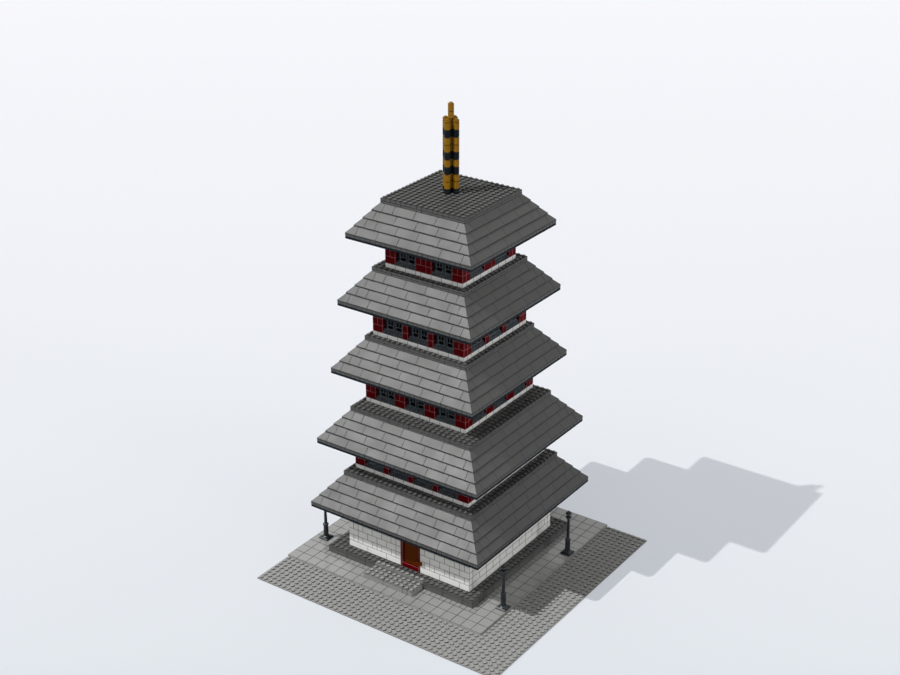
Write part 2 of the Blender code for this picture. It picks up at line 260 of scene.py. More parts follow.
def brick_tree(name, inputs):
    """A geometry tree, and a wire for each of its named inputs."""
    tree = bpy.data.node_groups.new(name, "GeometryNodeTree")
    tree.interface.new_socket("Geometry", in_out="INPUT", socket_type="NodeSocketGeometry")
    for label in inputs:
        kind = KINDS.get(label, "NodeSocketFloat")
        tree.interface.new_socket(label, in_out="INPUT", socket_type=kind)
    tree.interface.new_socket("Geometry", in_out="OUTPUT", socket_type="NodeSocketGeometry")
    entry = tree.nodes.new("NodeGroupInput")
    return tree, {socket.name: Wire(tree, socket) for socket in entry.outputs if socket.name}


def store(geometry, label, value, kind, domain):
    """Write a value on every point, face or instance of a geometry."""
    settings = {"data_type": kind, "domain": domain}
    inputs = {"Geometry": geometry, "Name": label, "Value": value}
    return geometry.make("GeometryNodeStoreNamedAttribute", settings, inputs)


def realized(instances, seed):
    """Give every laid brick its tone, from -1 to 1, and make them all one mesh."""
    luck = {2: -1.0, 3: 1.0, "Seed": seed}
    tone = instances.make("FunctionNodeRandomValue", {"data_type": "FLOAT"}, luck, output=1)
    toned = store(instances, "tone", tone, "FLOAT", "INSTANCE")
    return toned.make("GeometryNodeRealizeInstances", inputs={"Geometry": toned})


def finish_tree(tree, mesh, material):
    """Give the mesh its plastic and lead it out of the tree."""
    inputs = {"Geometry": mesh, "Material": material}
    mesh = mesh.make("GeometryNodeSetMaterial", inputs=inputs)
    leave = tree.nodes.new("NodeGroupOutput")
    mesh.feed(leave.inputs["Geometry"])


print("inputs with a kind of their own:", sorted(KINDS))

# %% [markdown]
# A brick model is hundreds of blocks of a few sizes. A cube stretched to size would stretch its rounded
# edges with it, so this tree rounds each block after its size is known. It puts a cube of 4 by 4 by 4
# points on every place and then moves the points: each goes to the corner of the block's inner box that
# it belongs to, and from there outwards by the rounding. A Bevel modifier could do the same, but it would
# have to look at every edge of every block.
#
# The cube's points lie half a unit and a sixth of one from its middle. To add 0.6 and round down is then 1
# for the outer ones and 0 for the inner ones, which tells the way outwards. The faces off the middle of
# the cube's sides become the rounded edges. Their centres lie further out than 0.6 in all, the others not.

# %% A tree that lays rounded blocks
CUBE_POINTS = 4
EDGE_REACH = 0.6


def rounded_blocks_tree():
    """A rounded block on every point, as large as the size stored there."""
    tree, given = brick_tree("rounded_blocks", ("Rounding", "Seed", "Material"))
    start = Wire(tree)
    counts = {f"Vertices {axis}": CUBE_POINTS for axis in "XYZ"}
    cube = start.make("GeometryNodeMeshCube", inputs=counts)
    here = start.make("GeometryNodeInputPosition")
    cube = store(cube, "corner", here, "FLOAT_VECTOR", "POINT")
    reach = here.vectors("ABSOLUTE", here).dot((1, 1, 1))
    cube = store(cube, "edge", reach.sums("GREATER_THAN", reach, EDGE_REACH), "FLOAT", "FACE")
    inputs = {"Points": given["Geometry"], "Instance": cube}
    blocks = realized(start.make("GeometryNodeInstanceOnPoints", inputs=inputs), given["Seed"])

    def stored(label):
        settings = {"data_type": "FLOAT_VECTOR"}
        return start.make("GeometryNodeInputNamedAttribute", settings, {"Name": label})

    corner, size = stored("corner"), stored("size")
    rounding = given["Rounding"]
    side = corner.vectors("SIGN", corner)
    outer = corner.vectors("ADD", corner.vectors("ABSOLUTE", corner), (EDGE_REACH,) * 3)
    outer = outer.vectors("FLOOR", outer)
    outwards = side.vectors("NORMALIZE", side.vectors("MULTIPLY", side, outer))
    margin = start.make("ShaderNodeCombineXYZ", inputs={0: rounding, 1: rounding, 2: rounding})
    inner = size.vectors("SUBTRACT", size.vectors("SCALE", size, 0.5), margin)
    centre = here.vectors("SUBTRACT", here, corner)
    moved = centre.vectors("ADD", centre, side.vectors("MULTIPLY", side, inner))
    moved = moved.vectors("ADD", moved, outwards.vectors("SCALE", outwards, rounding))
    blocks = blocks.make("GeometryNodeSetPosition", inputs={"Geometry": blocks, "Position": moved})
    finish_tree(tree, blocks, given["Material"])
    return tree


ROUNDED_BLOCKS = rounded_blocks_tree()
print("nodes in the tree of blocks:", len(ROUNDED_BLOCKS.nodes))

# %% [markdown]
# Studs, slope bricks and round bricks have shapes of their own, so the second tree lays a ready piece. It
# sets one on every place, turned about the vertical by the angle stored there.

# %% A tree that lays ready pieces
def ready_pieces_tree():
    """A copy of one piece on every point, turned by the angle stored there."""
    tree, given = brick_tree("ready_pieces", ("Piece", "Seed", "Material"))
    start = Wire(tree)
    piece = {"Object": given["Piece"]}
    shape = start.make("GeometryNodeObjectInfo", inputs=piece, output="Geometry")
    settings = {"data_type": "FLOAT"}
    turn = start.make("GeometryNodeInputNamedAttribute", settings, {"Name": "turn"})
    upright = start.make("ShaderNodeCombineXYZ", inputs={"Z": turn})
    rotation = start.make("FunctionNodeEulerToRotation", inputs={0: upright})
    inputs = {"Points": given["Geometry"], "Instance": shape, "Rotation": rotation}
    laid = realized(start.make("GeometryNodeInstanceOnPoints", inputs=inputs), given["Seed"])
    finish_tree(tree, laid, given["Material"])
    return tree


READY_PIECES = ready_pieces_tree()
print("nodes in the tree of pieces:", len(READY_PIECES.nodes))

# %% [markdown]
# A tree needs places to work on: a mesh of bare points that carries the block sizes or the turns. Once it
# has run, its result is copied out as a plain mesh and the modifier goes, so that what stays is ordinary
# geometry. The helpers below do this for a list of boxes and for a list of places. Each block is made a
# hair smaller than its place on the grid, which leaves the joint between it and its neighbours. Joints and
# roundings are in metres, as the tree needs them, and places and all other sizes in studs.

# %% Lay bricks along the grid
JOINT = 0.0003
EDGE_ROUNDING = 0.00025
seeds = itertools.count(1)


def grow(name, tree, places, label, kind, values, inputs):
    """Run a tree on points that carry one stored value each, and keep what it makes as a plain mesh."""
    points = bpy.data.meshes.new(name)
    points.from_pydata([metres(*place) for place in places], [], [])
    stored = points.attributes.new(label, kind, "POINT")
    stored.data.foreach_set("vector" if kind == "FLOAT_VECTOR" else "value", values)
    piece = bpy.data.objects.new(name, points)
    bpy.context.scene.collection.objects.link(piece)
    modifier = piece.modifiers.new(name, "NODES")
    modifier.node_group = tree
    for item in tree.interface.items_tree:
        if item.in_out == "INPUT" and item.name in inputs:
            modifier[item.identifier] = inputs[item.name]
    graph = bpy.context.evaluated_depsgraph_get()
    piece.data = bpy.data.meshes.new_from_object(piece.evaluated_get(graph), depsgraph=graph)
    piece.modifiers.remove(modifier)
    bpy.data.meshes.remove(points)
    return piece


def blocks(name, boxes, plastic, joint=JOINT, rounding=EDGE_ROUNDING):
    """One rounded block in each box; a box is where the block runs along X, Y and Z, in studs."""
    centres = [[sum(span) / 2 for span in box] for box in boxes]
    sizes = [(span[1] - span[0]) * STUD - joint for box in boxes for span in box]
    inputs = {"Rounding": rounding, "Seed": next(seeds), "Material": plastic}
    return grow(name, ROUNDED_BLOCKS, centres, "size", "FLOAT_VECTOR", sizes, inputs)


def pieces(name, shape, places, plastic, turns=None):
    """One ready piece on each place, turned by so many quarters of a circle."""
    angles = [quarter * math.pi / 2 for quarter in turns or [0] * len(places)]
    inputs = {"Piece": shape, "Seed": next(seeds), "Material": plastic}
    return grow(name, READY_PIECES, places, "turn", "FLOAT", angles, inputs)


print(f"joints of {JOINT * 1000:.1f} mm between bricks")

# %% [markdown]
# A finished part of the model is one object. `joined` makes one of its bricks and studs, and `fit` lets it
# ride on its body in place of the solids it stands for.

# %% Join the bricks and fit them to the frame
def joined(name, parts):
    """Join the parts into one object, which keeps each part's plastic."""
    with bpy.context.temp_override(active_object=parts[0], selected_editable_objects=parts):
        bpy.ops.object.join()
    parts[0].name = name
    return parts[0]


def fit(piece, nodes, body="pagoda"):
    """Let a finished piece ride on its body in place of the solids it stands for."""
    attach(piece, body)
    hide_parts(*nodes)
    print(f"{piece.name}: {len(piece.data.polygons)} faces, for {', '.join(nodes)}")


# %% [markdown]
# Turned and drawn-out shapes are skinned from rings of points, one ring above the other. A band between two
# rings can carry an `edge` value, which gives it the plastic's edge colour: a dark line on most plastics, a
# painted highlight on the dark ones, and painted shade where a stud's foot and side are marked.

# %% Skins and turned pieces
SHARP_ANGLE = math.radians(35)


def linked(name, bm, smooth=True):
    """Make an object of a mesh under construction; round walls are shaded smoothly, sharp edges not."""
    bmesh.ops.recalc_face_normals(bm, faces=bm.faces)
    mesh = bpy.data.meshes.new(name)
    bm.to_mesh(mesh)
    bm.free()
    if smooth:
        mesh.polygons.foreach_set("use_smooth", [True] * len(mesh.polygons))
        mesh.set_sharp_from_angle(angle=SHARP_ANGLE)
    shape = bpy.data.objects.new(name, mesh)
    bpy.context.scene.collection.objects.link(shape)
    return shape


def circle(radius, z, sides, offset=0.0):
    """A ring of points about the vertical; the offset turns it by that part of one side."""
    turns = [2 * math.pi * (i + offset) / sides for i in range(sides)]
    return [(radius * math.cos(a), radius * math.sin(a), z) for a in turns]


def skinned(bm, rings, edge_lines_and_painted_light=()):
    """Skin rings of equally many points and close both ends; worn gives some bands their edge value."""
    edge_lines_and_painted_light = dict(edge_lines_and_painted_light)
    edge = bm.faces.layers.float.get("edge") or bm.faces.layers.float.new("edge")
    loops = [[bm.verts.new(Vector(point) * STUD) for point in ring] for ring in rings]
    for band, (lower, upper) in enumerate(zip(loops, loops[1:])):
        for i, vert in enumerate(lower):
            j = (i + 1) % len(lower)
            bm.faces.new((vert, lower[j], upper[j], upper[i]))[edge] = edge_lines_and_painted_light.get(band, 0.0)
    bm.faces.new(loops[0])
    bm.faces.new(loops[-1])


def lathed(name, profile, sides, edge_lines_and_painted_light=()):
    """A turned piece from its radii and heights, in studs."""
    bm = bmesh.new()
    skinned(bm, [circle(radius, z, sides, 0.5) for radius, z in profile], edge_lines_and_painted_light)
    return linked(name, bm)


print(f"edges sharper than {math.degrees(SHARP_ANGLE):.0f} degrees stay sharp")

# %% [markdown]
# The stud is the shape that repeats most, over two thousand times, so it has to be plain: a lathed profile
# of 16 sides with its upper edge just broken, so that it catches a rim of light. Its foot is closed and
# sinks a little into the plate, because a gap there would let light through. Its foot takes the edge
# colour, and its side most of it: painted shade round the foot and up the side.

# %% One stud
STUD_RADIUS = 0.3
STUD_HEIGHT = 0.2
STUD_FOOT = 0.05
STUD_EDGE = 0.03
STUD_SIDES = 16
# painted shade: the full edge colour on the foot band, 0.6 of it on the side band
STUD_PAINTED_SHADE = {0: 1, 1: 0.6}

stud_profile = [
    (STUD_RADIUS, -STUD_FOOT),
    (STUD_RADIUS, STUD_FOOT),
    (STUD_RADIUS, STUD_HEIGHT - STUD_EDGE),
    (STUD_RADIUS - STUD_EDGE, STUD_HEIGHT),
]
stud = lathed("stud", stud_profile, STUD_SIDES, STUD_PAINTED_SHADE)
print("faces of a stud:", len(stud.data.polygons))


def field(x, y, z, *bare):
    """The middle of every square of a field, except in the parts that stay bare."""
    squares = itertools.product(range(round(x[0]), round(x[1])), range(round(y[0]), round(y[1])))
    places = []
    for i, j in squares:
        if not any(a[0] <= i < a[1] and b[0] <= j < b[1] for a, b in bare):
            places.append((i + 0.5, j + 0.5, z))
    return places


# %% [markdown]
# The baseplate is one thin sheet, 48 studs square. Tiles cover most of it, so its studs show only along
# the front and the right side. Those under the tiles would never be seen, and are left out.

# %% The baseplate
base_x, base_y, base_z = solid_spans("baseplate")
tiles_x, tiles_y, tiles_z = solid_spans("paving")
sheet = blocks("sheet", [(base_x, base_y, base_z)], LIGHT_GREY)
shown = field(base_x, base_y, base_z[1], (tiles_x, tiles_y))
baseplate = joined("studded_baseplate", [sheet, pieces("base_studs", stud, shown, LIGHT_GREY)])
fit(baseplate, ["baseplate"])

# %% [markdown]
# The smooth ground is laid of tiles two studs square, with a border of small ones round the podium, which
# starts on an odd stud. Each tile is a block of its own, so the joints between them are real grooves: they
# hold shadows and notch the edge of the field, which those of a bump texture wouldn't. Next to the entrance
# step the tiles are cut down to one stud.

# %% The tiles
TILE = 2
podium_x, podium_y, podium_z = solid_spans("podium")
step_x, step_y, step_z = solid_spans("entrance_step")
border_x = (podium_x[0] - 1, podium_x[1] + 1)
border_y = (podium_y[0] - 1, podium_y[1] + 1)


def overlaps(span, other):
    return span[0] < other[1] and other[0] < span[1]


def tiles_over(x_starts, y_starts):
    """Tiles from these starts; one that the edge of the step would cross is cut in two there."""
    boxes = []
    for y in y_starts:
        for x in x_starts:
            beside_step = overlaps((y, y + TILE), step_y)
            cuts = [edge for edge in step_x if beside_step and x < edge < x + TILE]
            ends = [x, *cuts, x + TILE]
            boxes += [(span, (y, y + TILE), tiles_z) for span in zip(ends, ends[1:])]
    return boxes


def is_free(box):
    """Whether neither the border of small tiles nor the step lies in a tile's place."""
    on_border = overlaps(box[0], border_x) and overlaps(box[1], border_y)
    return not on_border and not (overlaps(box[0], step_x) and overlaps(box[1], step_y))


starts = [range(round(low), round(high), TILE) for low, high in (tiles_x, tiles_y)]
tile_boxes = [box for box in tiles_over(*starts) if is_free(box)]
small = field(border_x, border_y, 0, (podium_x, podium_y), (step_x, step_y))
tile_boxes += [((x - 0.5, x + 0.5), (y - 0.5, y + 0.5), tiles_z) for x, y, z in small]
fit(blocks("smooth_tiles", tile_boxes, TILE_GREY), ["paving"])

# %% [markdown]
# Everything that is laid in rows needs a span cut into bricks, which is what `run` does; a rest that comes
# only from rounding makes no brick. Of a solid part only the rim shows, so `ring` sets bricks round the rim
# and one plain block inside it. Both serve the podium first, and then the walls, the eaves and the decks.

# %% Rows and rims
SHORTEST_BRICK = 0.01


def run(start, end, lengths):
    """Cut a span into bricks of these lengths; the last length repeats to the end."""
    spans = []
    lengths = list(lengths)
    while start < end - SHORTEST_BRICK:
        length = lengths.pop(0) if len(lengths) > 1 else lengths[0]
        spans.append((start, min(start + length, end)))
        start += length
    return spans


def ring(x, y, z, lengths, depth, front=None):
    """Bricks round the rim of a rectangle, and one block for its inside."""
    boxes = [(span, (y[0], y[0] + depth), z) for span in front or run(*x, lengths)]
    boxes += [(span, (y[1] - depth, y[1]), z) for span in run(*x, lengths)]
    for span in run(y[0] + depth, y[1] - depth, lengths):
        boxes += [((x[0], x[0] + depth), span, z), ((x[1] - depth, x[1]), span, z)]
    boxes.append(((x[0] + depth, x[1] - depth), (y[0] + depth, y[1] - depth), z))
    return boxes


print("a run of 10 studs in fours:", run(0, 10, [4]))

# %% [markdown]
# The podium is a course of dark bricks under a layer of plates, all four studs long. Its front leaves room
# for the threshold, a strip of light plates before the door.

# %% The podium
LONG_BRICK = 4
RIM_DEPTH = 2

threshold_x, threshold_y, threshold_z = solid_spans("entrance_threshold")
plates_base = round(podium_z[1] - PLATE, 3)
podium_front = run(podium_x[0], threshold_x[0], [LONG_BRICK])
podium_front += run(threshold_x[1], podium_x[1], [LONG_BRICK])
podium_boxes = []
for z in (podium_z[0], plates_base), (plates_base, podium_z[1]):
    podium_boxes += ring(podium_x, podium_y, z, [LONG_BRICK], RIM_DEPTH, podium_front)
    podium_boxes.append((threshold_x, (threshold_y[1], podium_y[0] + RIM_DEPTH), z))
podium_studs = field(podium_x, podium_y, podium_z[1], (threshold_x, threshold_y))
parts = [
    blocks("podium_blocks", podium_boxes, DARK_GREY),
    pieces("podium_studs", stud, podium_studs, STUD_GREY),
]
fit(joined("podium_bricks", parts), ["podium"])

# %% [markdown]
# Two light steps lead up to the door: one of two plates' height on the tiles, and the threshold in the
# podium's rim. Both keep their studs, which makes them look like rough stone beside the smooth tiles.

# %% The step and the threshold
STEP_BRICKS = (4, 4, 1, 1)
step_boxes = [(span, step_y, step_z) for span in run(*step_x, STEP_BRICKS)]
step_studs = field(step_x, step_y, step_z[1])
parts = [
    blocks("step_blocks", step_boxes, STEP_SHADED_GREY),
    pieces("step_studs", stud, step_studs, LIGHT_GREY),
]
fit(joined("entrance_step_bricks", parts), ["entrance_step"])

top_plate = (plates_base, threshold_z[1])
threshold_boxes = [(threshold_x, threshold_y, (threshold_z[0], plates_base))]
threshold_boxes += [(span, threshold_y, top_plate) for span in run(*threshold_x, [LONG_BRICK])]
threshold_studs = field(threshold_x, threshold_y, threshold_z[1])
parts = [
    blocks("threshold_blocks", threshold_boxes, STEP_SHADED_GREY),
    pieces("threshold_studs", stud, threshold_studs, LIGHT_GREY),
]
fit(joined("threshold_plates", parts), ["entrance_threshold"])

# %% [markdown]
# The white walls are one stud thick and laid in bond. Beside the door many of the bricks are only one or
# two studs long, so the lists below give the front's courses, each from left to right; the sides and the
# back are laid more plainly. There are four courses, which repeat: the upper ones lie hidden under the
# eave and go on in the same manner.

# %% The ground storey's walls
LEFT_OF_DOOR = ((4, 4, 3), (1, 1, 1, 2, 1, 1, 2, 1), (2, 2, 2, 2, 2, 1), (1, 1, 1, 2, 2, 2, 1))
RIGHT_OF_DOOR = ((4, 4, 2), (1, 1, 1, 2, 1, 1, 2, 1), (2,), (1, 2, 2, 2, 1))
SIDE_COURSES = ((4,), (2,), (4,), (1, 2))
COURSE_PATTERNS = list(zip(LEFT_OF_DOOR, RIGHT_OF_DOOR, SIDE_COURSES))

wall_x, back_y, wall_z = solid_spans("ground_wall_back")
wall_y = (solid_spans("ground_wall_front_left")[1][0], back_y[1])
door_x, door_y, door_z = solid_spans("door_frame")


def courses(z, height=BRICK):
    """The layers of a wall from its foot to its top."""
    return run(*z, [height])


wall_boxes = []
for (left, right, sides), z in zip(itertools.cycle(COURSE_PATTERNS), courses(wall_z)):
    front = run(wall_x[0], door_x[0], left) + run(door_x[1], wall_x[1], right)
    if z[1] > door_z[1] + GRID_STEP:
        front.append(door_x)
    wall_boxes += [(span, (wall_y[0], wall_y[0] + 1), z) for span in front]
    wall_boxes += [(span, (wall_y[1] - 1, wall_y[1]), z) for span in run(*wall_x, sides)]
    for span in run(wall_y[0] + 1, wall_y[1] - 1, sides):
        wall_boxes += [((wall_x[0], wall_x[0] + 1), span, z), ((wall_x[1] - 1, wall_x[1]), span, z)]
ground_nodes = [node for node in frame["nodes"] if node.startswith("ground_wall")] + ["door_lintel"]
fit(blocks("ground_walls", wall_boxes, WHITE), ground_nodes)

# %% [markdown]
# The door is a ready-made part of such toys: a frame four studs wide, with one leaf hung on two pins. The
# frame is moulded in one, so its bars meet almost without a joint. A thin stop on each jamb closes the gap
# beside the leaf.

# %% The door frame
JAMB = 0.28
STOP = 0.12
STOP_SET_BACK = 0.12
SILL_HEIGHT = 0.8
HEAD_HEIGHT = 0.4
MOULDED_JOINT = 0.00005

frame_low, frame_high = door_z
sill_top = frame_low + SILL_HEIGHT
head_base = frame_high - HEAD_HEIGHT
between_jambs = (door_x[0] + JAMB, door_x[1] - JAMB)
frame_boxes = [
    ((door_x[0], between_jambs[0]), door_y, door_z),
    ((between_jambs[1], door_x[1]), door_y, door_z),
    (between_jambs, door_y, (frame_low, sill_top)),
    (between_jambs, door_y, (head_base, frame_high)),
]
stop_y = (door_y[0] + STOP_SET_BACK, door_y[1] - STOP_SET_BACK)
for x in (between_jambs[0], between_jambs[0] + STOP), (between_jambs[1] - STOP, between_jambs[1]):
    frame_boxes.append((x, stop_y, (sill_top, head_base)))
frame_bars = blocks("door_frame_bars", frame_boxes, DARK_RED, joint=MOULDED_JOINT)
fit(frame_bars, ["door_frame"])

# %% [markdown]
# The leaf is its own moving body, so it is built apart from the frame and rides on the door. Its board is
# flat, with the hinge edge rounded about the pins so that it can turn close to the jamb, and a pin sticks
# out of it above and below. It is skinned about the hinge's axis and then moved there as a whole.

# %% The door leaf's board
LEAF_HALF = 0.15
LEAF_GAP = 0.05
LEAF_END_GAP = 0.1
LEAF_EDGE = 0.03
LEAF_ARC_STEPS = 8
PIN_RADIUS = 0.11
PIN_REACH = 0.2

hinge = (Vector(frame["joints"][0]["pos_m"]) - base_low) / STUD
leaf_z = (sill_top + LEAF_GAP, head_base - LEAF_GAP)
leaf_end = between_jambs[1] - STOP - LEAF_END_GAP


def leaf_outline(half, z):
    """The leaf from above, about its hinge: a half circle and the straight part."""
    arc = [math.radians(90 + 180 * i / LEAF_ARC_STEPS) for i in range(LEAF_ARC_STEPS + 1)]
    end = leaf_end - hinge.x - LEAF_HALF + half
    outline = [(half * math.cos(a), half * math.sin(a)) for a in arc] + [(end, -half), (end, half)]
    return [(x, y, z) for x, y in outline]


bm = bmesh.new()
board_rings = [
    leaf_outline(LEAF_HALF - LEAF_EDGE, leaf_z[0]),
    leaf_outline(LEAF_HALF, leaf_z[0] + LEAF_EDGE),
    leaf_outline(LEAF_HALF, leaf_z[1] - LEAF_EDGE),
    leaf_outline(LEAF_HALF - LEAF_EDGE, leaf_z[1]),
]
skinned(bm, board_rings, edge_lines_and_painted_light={0: 1, 2: 1})
skinned(bm, [circle(PIN_RADIUS, z, STUD_SIDES) for z in (leaf_z[0] - PIN_REACH, leaf_z[1] + PIN_REACH)])
bmesh.ops.translate(bm, verts=bm.verts, vec=metres(hinge.x, hinge.y, 0))
leaf = linked("leaf_board", bm)
leaf.data.materials.append(BROWN)
print("faces of the board:", len(leaf.data.polygons))

# %% [markdown]
# A thin raised border runs round both faces of the leaf. The pull is a square grip on a short arm that
# starts from a stem in the leaf, so it stands before the frame, where a finger can reach it. All of these
# are small blocks, laid like the bricks but with hardly any joint.

# %% The door leaf's border and pull
BORDER = 0.2
BORDER_RISE = 0.03
STEM_X = 22.2
ARM = 0.14
ARM_Z = 3.85
GRIP_WIDTH = 0.3
GRIP_DEPTH = 0.16
GRIP_Z = (3.45, 4.25)
DETAIL_JOINT = 0.00002
DETAIL_ROUNDING = 0.00012

pull_x, pull_y = solid_spans("door_leaf")[:2]
stiles = (hinge.x + BORDER_RISE, leaf_end - BORDER)
rails = (stiles[0] + BORDER, stiles[1])
details = []
for side in (-1, 1):
    faces = sorted(hinge.y + side * reach for reach in (LEAF_HALF - LEAF_EDGE, LEAF_HALF + BORDER_RISE))
    details += [((x, x + BORDER), faces, leaf_z) for x in stiles]
    details += [(rails, faces, (z, z + BORDER)) for z in (leaf_z[0], leaf_z[1] - BORDER)]
arm_y = (pull_y[0], pull_y[0] + ARM)
arm_z = (ARM_Z - ARM / 2, ARM_Z + ARM / 2)
grip_x = (pull_x[1] - GRIP_WIDTH, pull_x[1])
details += [
    ((STEM_X, STEM_X + ARM), (arm_y[0], hinge.y - LEAF_HALF + LEAF_EDGE), arm_z),
    ((STEM_X + ARM, grip_x[0]), arm_y, arm_z),
    (grip_x, (pull_y[0], pull_y[0] + GRIP_DEPTH), GRIP_Z),
]
trim = blocks("leaf_details", details, BROWN, joint=DETAIL_JOINT, rounding=DETAIL_ROUNDING)
fit(joined("door_leaf_board", [leaf, trim]), ["door_leaf"], body="door")

# %% [markdown]
# Each roof is an eave of two plates, four rows of slope bricks that step in by one stud, and a studded
# deck of two plates, which is the floor of the next storey. The slope brick is two studs deep: a low lip at
# its outer edge, then 45 degrees up to the row above. At the corners sits a brick that slopes both ways.
# All three shapes are convex, so a convex hull of a few named points makes each of them.
#
# The faces that break a slope brick's edges take the dark edge colour. Those along its sides take only a
# third of it, because a neighbour lies close against them. The low lip takes more than half, as it draws
# the dark line between one row and the next.

# %% The slope bricks
SLOPE_LIP = 0.2
SLOPE_DEPTH = 2
SLOPE_JOINT = 0.0002
BRICK_EDGE = 0.03
SIDE_SEAM = 0.35
LIP_SHADE = 0.7
LIP_AREA = 1.0
FLAT_ANGLE = 0.01
UPRIGHT = 0.01
NEARLY_UPRIGHT = 0.1
SIDEWAYS = 0.5


def hull(name, points):
    """A convex solid from its corners, in studs, with its edges just broken."""
    bm = bmesh.new()
    for point in points:
        bm.verts.new(Vector(point) * STUD)
    bmesh.ops.convex_hull(bm, input=bm.verts)
    bmesh.ops.dissolve_limit(bm, angle_limit=FLAT_ANGLE, verts=bm.verts, edges=bm.edges)
    edge = bm.faces.layers.float.new("edge")
    made = bmesh.ops.bevel(bm, geom=bm.edges[:], offset=BRICK_EDGE * STUD, segments=1, affect="EDGES")
    for face in made["faces"]:
        beside = abs(face.normal.z) < NEARLY_UPRIGHT or abs(face.normal.x) > SIDEWAYS
        face[edge] = SIDE_SEAM if beside else 1
    for face in bm.faces:
        if abs(face.normal.z) < UPRIGHT and face.calc_area() < LIP_AREA * STUD ** 2:
            face[edge] = LIP_SHADE
    return linked(name, bm, smooth=False)


def slope_brick(width):
    """A slope brick of so many studs, seen from the front, about the middle of its foot."""
    half = width / 2 - SLOPE_JOINT / STUD / 2
    depth = SLOPE_DEPTH / 2
    profile = [(-depth, 0), (-depth, SLOPE_LIP), (1 - depth, BRICK), (depth, BRICK), (depth, 0)]
    return hull(f"slope_{width}", [(x, y, z) for x in (-half, half) for y, z in profile])


def corner_brick():
    """The slope brick that turns the front left corner, about the middle of its foot."""
    out, back = -SLOPE_DEPTH / 2, SLOPE_DEPTH / 2 - SLOPE_JOINT / STUD / 2
    flat = out + 1
    points = [(x, y, 0) for x in (out, back) for y in (out, back)]
    points += [(out, out, SLOPE_LIP), (back, out, SLOPE_LIP), (out, back, SLOPE_LIP)]
    points += [(x, y, BRICK) for x in (flat, back) for y in (flat, back)]
    return hull("slope_corner", points)


slope_shapes = {width: slope_brick(width) for width in (4, 2)}
slope_shapes["corner"] = corner_brick()
print("faces:", {key: len(shape.data.polygons) for key, shape in slope_shapes.items()})

# %% [markdown]
# A row of slopes has a corner brick at each end and bricks of four studs between them. Where the length
# between the corners isn't a multiple of four, a brick of two studs makes it up: at the left end on the
# front and the back, at the right end on the other two sides. In the first and the fourth roof it is the
# other way about, and a row that fours alone would fill has a two at both ends. That keeps the joints of
# one row away from those of the next.

# %% The widths in a row of slopes
ENDS_IN_TWOS = (1, 4)


def row_lengths(storey, length, side):
    """Widths of the slope bricks between the corners of a row, from left to right as seen from outside."""
    fours = int(length // 4)
    if length % 4:
        two_first = (storey in ENDS_IN_TWOS) == (side % 2 == 1)
        return [2] + [4] * fours if two_first else [4] * fours + [2]
    if storey in ENDS_IN_TWOS and fours:
        return [2] + [4] * (fours - 1) + [2]
    return [4] * fours


print("the lowest row of the first roof:", row_lengths(1, 30, 0))

# %% [markdown]
# Each side is laid as if it were the front and then turned about the roof's middle, a quarter at a time, so
# the rule above is all that the four sides need.

# %% The roofs
SLOPE_ROWS = 4


def turned(point, centre, quarters):
    """A point turned by quarters of a circle about a centre."""
    x, y = point[0] - centre[0], point[1] - centre[1]
    for _ in range(quarters):
        x, y = -y, x
    return (centre[0] + x, centre[1] + y, point[2])


def row_spots(left, right, storey, side):
    """The shapes of a row, the left corner's first, each with the place of its middle along the row."""
    spots = [("corner", left + SLOPE_DEPTH / 2)]
    start = left + SLOPE_DEPTH
    for length in row_lengths(storey, right - left - 2 * SLOPE_DEPTH, side):
        spots.append((length, start + length / 2))
        start += length
    return spots


def slope_rows(storey):
    """Places and turns of a roof's slope bricks, by shape."""
    x, y, z = solid_spans(f"roof_slope_{storey}")
    centre = (sum(x) / 2, sum(y) / 2)
    laid = {key: ([], []) for key in slope_shapes}
    for row in range(SLOPE_ROWS):
        middle, foot = y[0] + row + SLOPE_DEPTH / 2, z[0] + row * BRICK
        for side in range(4):
            for key, spot in row_spots(x[0] + row, x[1] - row, storey, side):
                laid[key][0].append(turned((spot, middle, foot), centre, side))
                laid[key][1].append(side)
    return laid


for storey in range(1, 6):
    parts = []
    for key, (places, turns) in slope_rows(storey).items():
        if places:
            parts.append(pieces(f"slopes_{key}", slope_shapes[key], places, ROOF_GREY, turns))
    fit(joined(f"roof_{storey}_slopes", parts), [f"roof_slope_{storey}"])

# %% [markdown]
# Under the slopes lies the eave: a black plate, and on it a dark grey one whose edge is set with plates of
# a single stud, which gives the fine row of joints along every roof. The deck above the slopes is made in
# the same way, with studs wherever the next storey, or on the last deck the spire, leaves it bare.

# %% The eaves and the decks
def plate_pair(x, y, z):
    """Two layers of plates round a rim, as boxes: the lower in long plates, the upper in single ones."""
    middle = round(z[0] + PLATE, 3)
    lower = ring(x, y, (z[0], middle), [LONG_BRICK], RIM_DEPTH)
    return lower, ring(x, y, (middle, z[1]), [1], 1)


def built_over(storey):
    """Where something stands on the deck of a roof, as spans along X and Y in whole studs."""
    if storey < 5:
        return [solid_spans(f"base_course_{storey + 1}")[:2]]
    spire = [solid_spans(node)[:2] for node in frame["nodes"] if node.startswith("spire")]
    return [[(math.floor(span[0]), math.ceil(span[1])) for span in spans] for spans in spire]


for storey in range(1, 6):
    lower, upper = plate_pair(*solid_spans(f"eave_{storey}"))
    parts = [blocks("eave_lower", lower, BLACK), blocks("eave_upper", upper, DARK_GREY)]
    fit(joined(f"roof_{storey}_eave", parts), [f"eave_{storey}"])
    x, y, z = solid_spans(f"roof_deck_{storey}")
    lower, upper = plate_pair(x, y, z)
    deck_studs = field(x, y, z[1], *built_over(storey))
    parts = [
        blocks("deck_plates", lower + upper, DARK_GREY),
        pieces("deck_studs", stud, deck_studs, STUD_GREY),
    ]
    fit(joined(f"roof_{storey}_deck", parts), [f"roof_deck_{storey}"])

# %% [markdown]
# An upper storey starts with a white course of two plates' height, one stud thick. It is a rim only, since
# the room inside is hollow, so the last box of the ring is left off.

